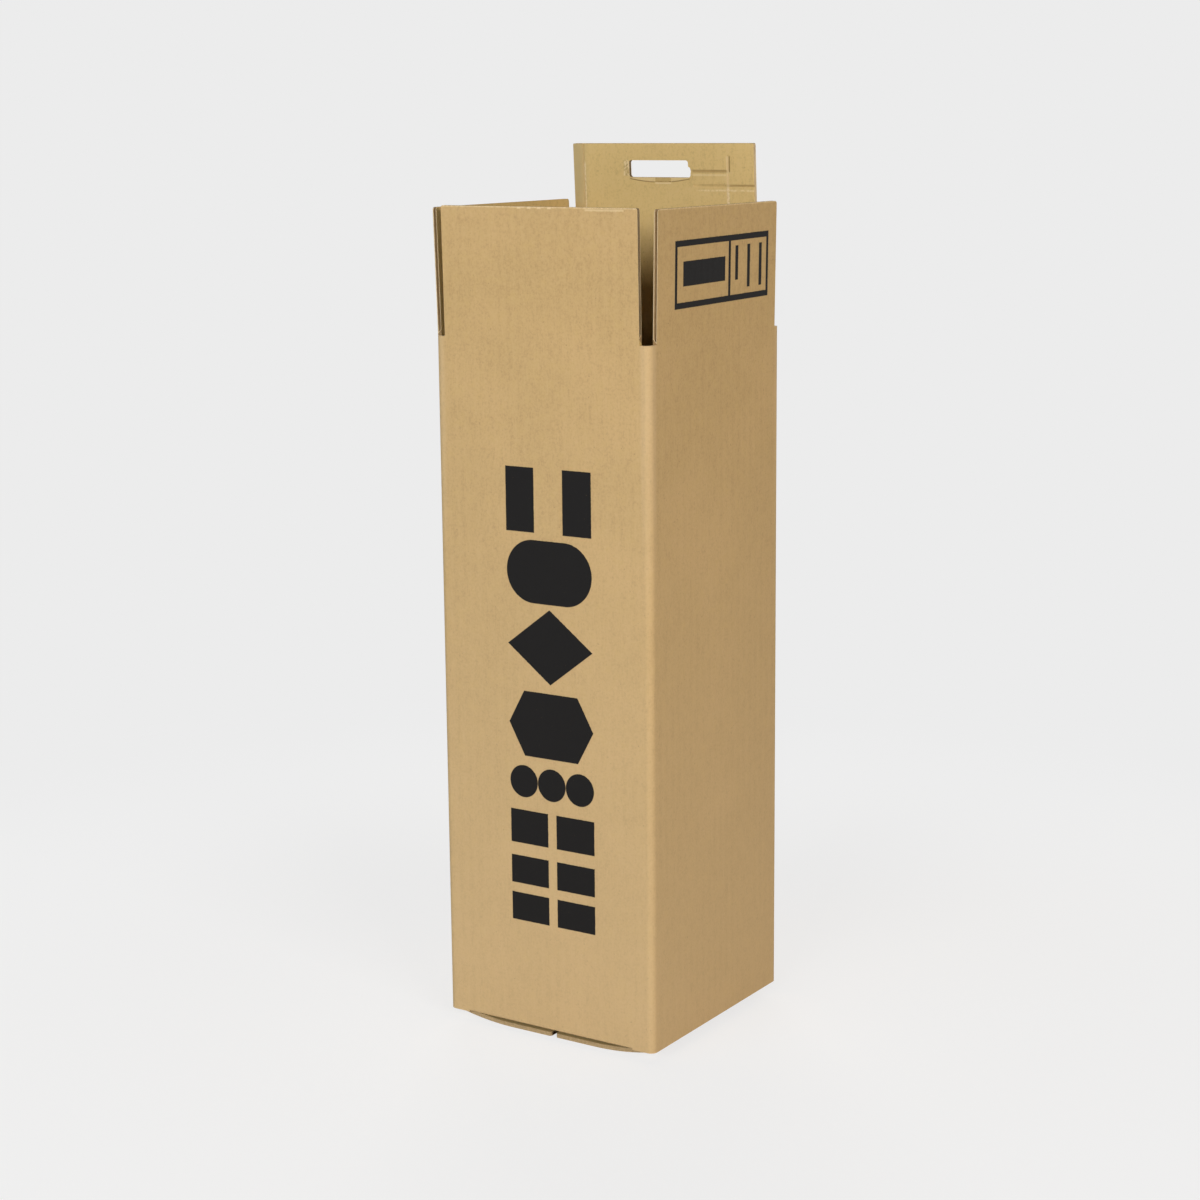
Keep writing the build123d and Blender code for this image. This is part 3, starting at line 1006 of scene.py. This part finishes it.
def make_fold(body, name):
    """The crushed board in the V behind a fold. It opens and closes as the flap turns."""
    sizes = settings().board
    hinge = Vector(HINGES[body]["pos_m"])
    board = next(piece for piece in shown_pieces() if body_of(piece) == [body])
    inward = -Vector((hinge.x, hinge.y, 0)).normalized()
    axes = board_axes(hinge, Z_AXIS, inward)
    start, end = reach(board, axes)[0]
    half = sizes.thickness * math.tan(sizes.mitre)
    bpy.ops.object.select_all(action="DESELECT")
    bpy.ops.mesh.primitive_grid_add(x_subdivisions=1, y_subdivisions=2, size=1,
                                    location=((start + end) / 2, 0, sizes.thickness))
    wedge = bpy.context.active_object
    wedge.name = name
    wedge.scale = (end - start, 2 * half, 1)
    bpy.ops.object.transform_apply(location=True, rotation=True, scale=True)
    bpy.ops.object.mode_set(mode="EDIT")
    bpy.ops.mesh.select_all(action="SELECT")
    bpy.ops.mesh.extrude_region_move(TRANSFORM_OT_translate={"value": (0, 0, -sizes.thickness)})
    bpy.ops.transform.resize(value=(1, 0, 1), center_override=(0, 0, 0))
    bpy.ops.mesh.select_all(action="SELECT")
    bpy.ops.mesh.remove_doubles(threshold=WELD)
    bpy.ops.mesh.normals_make_consistent(inside=False)
    end_edit()
    settle(wedge, axes)
    across = Vector(axes.col[0][:3])
    finish_faces(wedge, (inside_finish(), plain_finish("kraft_medium", settings().colours.medium)),
                 lambda centre, normal: int(abs(normal.dot(across)) > 0.9))
    stretch = Z_AXIS * half * 0.8
    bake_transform(wedge, "carton", body, start=tuple(hinge - stretch), end=tuple(hinge + stretch))


class BOTTLEBOX_OT_folds(bpy.types.Operator):
    """Build the crushed board behind the fold of each top flap"""

    bl_idname = "bottlebox.folds"
    bl_label = "Folds"

    def execute(self, context):
        for body in ("front_flap", "left_flap", "right_flap", "rear_flap"):
            make_fold(body, body.replace("flap", "fold") + "_board")
        return {"FINISHED"}


class BOTTLEBOX_OT_foot_flaps(bpy.types.Operator):
    """Build the two bowed bottom flaps"""

    bl_idname = "bottlebox.foot_flaps"
    bl_label = "Bottom flaps"

    def execute(self, context):
        make_foot_flap("left_bottom_flap", "left_foot_board", "left_foot_flap", -1)
        make_foot_flap("right_bottom_flap", "right_foot_board", "right_foot_flap", 1)
        return {"FINISHED"}


LIGHT_DISTANCE = 4.0
LIGHT_TARGET = Vector((0, 0, 0.27))


def add_area_light(name, power, tint, azimuth, elevation, size):
    """A broad lamp that looks at the middle of the box, by its angles in degrees: azimuth 0 is in front of
    the box, and grows towards its right."""
    azimuth = math.radians(azimuth)
    elevation = math.radians(elevation)
    direction = Vector((math.sin(azimuth) * math.cos(elevation), -math.cos(azimuth) * math.cos(elevation),
                        math.sin(elevation)))
    lamp = bpy.data.lights.new(name, "AREA")
    lamp.shape = "RECTANGLE"
    lamp.size, lamp.size_y = size
    lamp.energy = power
    lamp.color = tint
    holder = bpy.data.objects.new(name, lamp)
    holder.location = LIGHT_TARGET + direction * LIGHT_DISTANCE
    holder.rotation_euler = direction.to_track_quat("Z", "Y").to_euler()
    bpy.context.scene.collection.objects.link(holder)


def seen_directly(bench):
    """1 on rays that come from the camera, a gloss or a clear body, and 0 on those that light the object."""
    rays = [bench.node("ShaderNodeLightPath", output=name)
            for name in ("Is Camera Ray", "Is Glossy Ray", "Is Transmission Ray")]
    return rays[0].larger(rays[1]).larger(rays[2])


class BOTTLEBOX_OT_stage(bpy.types.Operator):
    """Set the floor, the lights, the surroundings and the camera"""

    bl_idname = "bottlebox.stage"
    bl_label = "Stage"

    def execute(self, context):
        stage = settings().stage
        self.floor(stage)
        self.surroundings(stage)
        warm, key = stage.warm, stage.key_power
        add_area_light("left_key_light", key, warm, azimuth=5, elevation=16.5, size=(2.0, 1.0))
        add_area_light("right_key_light", key * 1.03, warm, azimuth=62, elevation=16.5, size=(2.0, 1.0))
        add_area_light("fill_light", stage.fill_power, stage.cool, azimuth=-25, elevation=13.5,
                       size=(2.0, 0.9))
        add_area_light("back_light", stage.back_power, warm, azimuth=215, elevation=8.0, size=(2.0, 0.9))
        add_area_light("top_light", stage.top_power, warm, azimuth=0, elevation=90, size=(0.5, 0.5))
        self.camera(stage)
        context.scene.view_settings.view_transform = "Standard"
        return {"FINISHED"}

    def floor(self, stage):
        """A matt floor with an even share in direct sight, which is full far away and none under the box."""
        bpy.ops.object.select_all(action="DESELECT")
        bpy.ops.mesh.primitive_plane_add(size=8.0, location=(0, 0, -0.1 * MM))
        floor = bpy.context.active_object
        floor.name = "floor"
        bpy.ops.object.transform_apply(location=True, rotation=True, scale=True)
        material = bpy.data.materials.new("pale_floor")
        bench = Bench(material)
        x, y, _ = bench.split(bench.place())
        far = (x * x + y * y).root().rise(250.0, 800.0)
        matt = bench.node("ShaderNodeBsdfDiffuse", inputs={"Color": (0.85, 0.85, 0.85, 1.0)})
        glow = 1.0 + (1.0 - far) * stage.floor_glow
        even = bench.node("ShaderNodeEmission", inputs={
            "Color": with_alpha(stage.backdrop), "Strength": glow})
        covered = abs(x).larger(abs(y)).rise(50.0, 40.0)
        lift = (stage.floor_lift + (1.0 - stage.floor_lift) * far) * (1.0 - covered)
        near = bench.node("ShaderNodeMixShader", inputs={0: seen_directly(bench) * lift, 1: matt, 2: even})
        bench.end(near)
        floor.data.materials.append(material)
        floor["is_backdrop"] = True

    def surroundings(self, stage):
        """A plain backdrop in direct sight, and for the light a bright ring a little above the horizon."""
        world = bpy.data.worlds.new("studio")
        bpy.context.scene.world = world
        bench = Bench(world)
        direction = bench.node("ShaderNodeTexCoord", output="Generated")
        _, _, z = bench.split(direction)
        ring = z.rise(0.04, 0.08) * z.rise(0.26, 0.18) * stage.ring_light
        seen = seen_directly(bench)
        colour = bench.blend(seen, stage.warm, stage.backdrop)
        strength = seen + (1.0 - seen) * ring
        shader = bench.node("ShaderNodeBackground", inputs={"Color": colour, "Strength": strength})
        last = bench.tree.nodes.new("ShaderNodeOutputWorld")
        bench.tree.links.new(shader.socket, last.inputs["Surface"])

    def camera(self, stage):
        """The camera at its place, turned by its yaw, pitch and roll."""
        yaw, pitch, roll = stage.camera_yaw, stage.camera_pitch, stage.camera_roll
        forward = Vector((-math.sin(yaw) * math.cos(pitch), math.cos(yaw) * math.cos(pitch),
                          -math.sin(pitch)))
        level = Vector((math.cos(yaw), math.sin(yaw), 0))
        upright = level.cross(forward)
        right = level * math.cos(roll) + upright * math.sin(roll)
        up = upright * math.cos(roll) - level * math.sin(roll)
        data = bpy.data.cameras.new("camera")
        data.lens = stage.camera_lens
        data.sensor_width = 36.0
        holder = bpy.data.objects.new("camera", data)
        turn = Matrix((right, up, -forward)).transposed().to_4x4()
        holder.matrix_world = Matrix.Translation(stage.camera_place) @ turn
        bpy.context.scene.collection.objects.link(holder)
        bpy.context.scene.camera = holder


class BOTTLEBOX_PT_panel(bpy.types.Panel):
    """The steps that build the box, in order"""

    bl_idname = "BOTTLEBOX_PT_panel"
    bl_label = "Bottle Shipping Box"
    bl_space_type = "VIEW_3D"
    bl_region_type = "UI"
    bl_category = "Bottle Box"

    def draw(self, context):
        for step in STEPS:
            self.layout.operator(step.bl_idname)


STEPS = (BOTTLEBOX_OT_stage, BOTTLEBOX_OT_carton, BOTTLEBOX_OT_top_flaps, BOTTLEBOX_OT_foot_flaps,
         BOTTLEBOX_OT_folds)
CLASSES = (BoardSizes, BoardColours, CreaseSizes, PrintSizes, StageSettings, BottleBoxSettings, *STEPS,
           BOTTLEBOX_PT_panel)


def register():
    for item in CLASSES:
        bpy.utils.register_class(item)
    bpy.types.Scene.bottle_box = PointerProperty(type=BottleBoxSettings)


def unregister():
    del bpy.types.Scene.bottle_box
    for item in reversed(CLASSES):
        bpy.utils.unregister_class(item)


def main():
    """Builds the stage and every piece."""
    register()
    bpy.ops.bottlebox.stage()
    bpy.ops.bottlebox.carton()
    bpy.ops.bottlebox.top_flaps()
    bpy.ops.bottlebox.foot_flaps()
    bpy.ops.bottlebox.folds()


if __name__ == "__main__":
    main()
